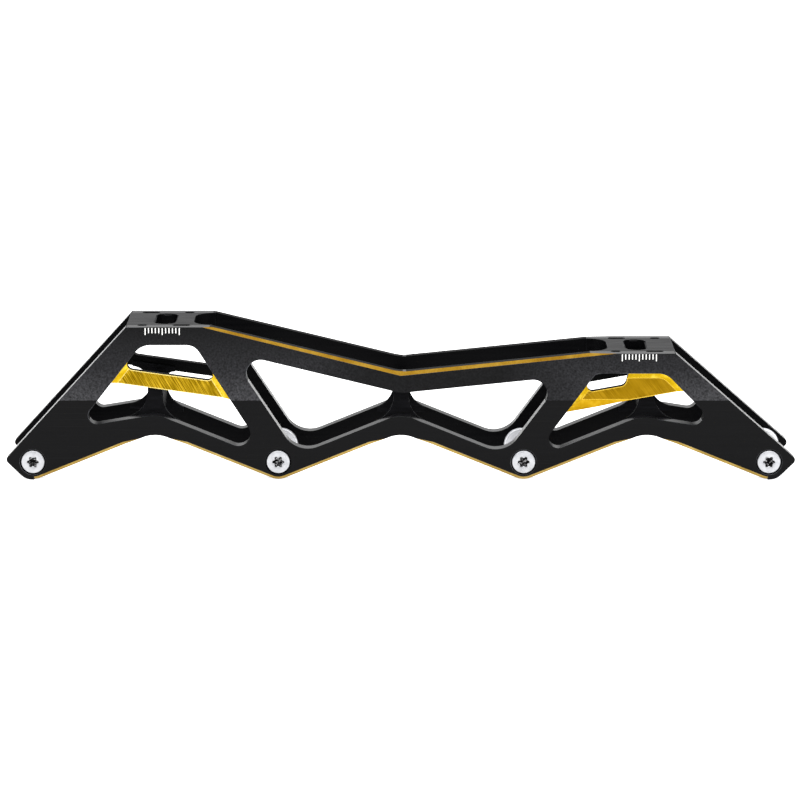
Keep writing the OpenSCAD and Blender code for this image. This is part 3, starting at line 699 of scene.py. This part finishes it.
for i in range(1, 5):
    s = axleSettings
    piece, driveCap = axleMesh(f"axle_{i}_turned", (i - 2.5) * s["pitch"])
    piece.data.materials.append(shadedDrive)
    for face in piece.data.polygons:
        face.use_smooth = len(face.vertices) == 4
        # painted shade: the drive's first rows and its floor take the dark metal with painted glints
        face.material_index = int(face.index < s["driveRows"] * s["around"] or face.index == driveCap)
    shade = piece.modifiers.new("evenShading", "WEIGHTED_NORMAL")
    shade.weight = s["weight"]
    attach(piece, f"axle_{i}")
    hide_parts(f"axle_{i}")
print("axles made")


# scale marks for lining up the mounting bolts, on the outside of both walls
markSettings = {
    "count": 11, "pitch": 1.4, "width": 0.38, "proud": 0.02, "sunk": 0.02,
    "endLength": 2.9, "length": 2.2,
    "heel": (-98.0, 64.1), "toe": (98.0, 53.1),
    "creaseZ": 33.7, "wallY": 18.0, "lean": 1.1,
}


def scaleMarks(name, middle, top, side):
    s = markSettings
    last = s["count"] - 1
    points = []
    faces = []
    for k in range(s["count"]):
        x = middle + (k - last / 2) * s["pitch"]
        low = top - (s["endLength"] if k in (0, last // 2, last) else s["length"])
        a = len(points)
        for z in (top, low):
            y = s["wallY"] - (z - s["creaseZ"]) * math.tan(math.radians(s["lean"]))
            for out in (-s["sunk"], s["proud"]):
                for dx in (-s["width"] / 2, s["width"] / 2):
                    points.append((x + dx, side * (y + out), z))
        # corners of one mark: two in the wall and two proud of it, at its top and at its low end
        faces += [(a + 2, a + 3, a + 7, a + 6), (a, a + 2, a + 6, a + 4), (a + 1, a + 5, a + 7, a + 3),
                  (a, a + 1, a + 3, a + 2), (a + 4, a + 6, a + 7, a + 5), (a, a + 4, a + 5, a + 1)]
    piece = newMesh(name, points, faces, ink)
    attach(piece, "frame")


for side, sideName in ((-1, "right"), (1, "left")):
    for end in ("heel", "toe"):
        middle, top = markSettings[end]
        scaleMarks(f"{sideName}_{end}_marks", middle, top, side)
print("scale marks made")


# floor, light and camera
stageSettings = {
    "floorSize": 12.0, "floorZ": -0.05, "floor": "#f4f4f3", "floorDim": "#f1f1f0", "floorStops": (0.2, 0.8),
    "floorGrainMm": 60.0, "floorRoughness": 0.9, "floorSpecular": 0.1, "floorGlow": 0.8,
    "horizon": 0.5, "overhead": 1.35, "horizonRise": (0.05, 0.45),
    "lamps": {"softbox": {"size": (1.6, 1.2), "place": (0.0, 0.15, 1.5), "watts": 3.0},
              "frontFill": {"size": (3.2, 1.8), "place": (0.0, -1.2, 1.25), "watts": 28.0}},
    "target": (-0.0004, 0.0, 0.02975), "distance": 1.4, "elevation": 13.045,
    "lens": 150.84, "sensor": 36.0, "farthest": 50.0,
}


def buildStage():
    s = stageSettings
    # matt white paper, lit like a light table, so that hardly any shadow stays under the frame
    material, tree, shader = newMaterial("paperWhiteMatt")
    place = addNode(tree, "ShaderNodeTexCoord").outputs["Object"]
    grain = addNode(tree, "ShaderNodeTexNoise", {"Scale": perMm(s["floorGrainMm"]), "Detail": 2.0}, {"Vector": place})
    tone = addNode(tree, "ShaderNodeValToRGB", links={0: grain.outputs["Fac"]})
    setRamp(tone, s["floorStops"], (s["floorDim"], s["floor"]))
    setShader(tree, shader, {"Base Color": tone.outputs[0]},
              {"Roughness": s["floorRoughness"], "Specular IOR Level": s["floorSpecular"],
               "Emission Color": linear("#ffffff"), "Emission Strength": s["floorGlow"]})
    half = s["floorSize"] / 2 / mm
    corners = [(x, y, s["floorZ"]) for x, y in ((-half, -half), (half, -half), (half, half), (-half, half))]
    floor = newMesh("floor", corners, [(0, 1, 2, 3)], material)

    # white overhead and dimmer towards the horizon, as between two studio walls
    world = bpy.data.worlds.new("softRoom")
    world.use_nodes = True
    tree = world.node_tree
    sky = tree.nodes["Background"]
    sky.inputs["Color"].default_value = linear("#ffffff")
    way = addNode(tree, "ShaderNodeTexCoord").outputs["Generated"]
    up = addNode(tree, "ShaderNodeSeparateXYZ", links={0: way})
    glow = addNode(tree, "ShaderNodeMapRange", spread((s["horizon"], s["overhead"]), s["horizonRise"]),
                   {"Value": up.outputs["Z"]})
    tree.links.new(glow.outputs[0], sky.inputs["Strength"])
    scene.world = world

    target = Vector(s["target"])
    for name, fitting in s["lamps"].items():
        light = bpy.data.lights.new(name, "AREA")
        light.shape = "RECTANGLE"
        light.size, light.size_y = fitting["size"]
        light.energy = fitting["watts"]
        lamp = bpy.data.objects.new(name, light)
        lamp.location = fitting["place"]
        lamp.rotation_euler = (target - lamp.location).to_track_quat("-Z", "Y").to_euler()
        scene.collection.objects.link(lamp)

    tilt = math.radians(s["elevation"])
    camera = bpy.data.objects.new("camera", bpy.data.cameras.new("camera"))
    camera.location = target + s["distance"] * Vector((0, -math.cos(tilt), math.sin(tilt)))
    camera.rotation_euler = (math.pi / 2 - tilt, 0, 0)
    camera.data.lens = s["lens"]
    camera.data.sensor_width = s["sensor"]
    camera.data.sensor_fit = "HORIZONTAL"
    camera.data.clip_end = s["farthest"]
    scene.collection.objects.link(camera)
    scene.camera = camera
    scene.view_settings.view_transform = "Standard"


buildStage()
print("stage ready")
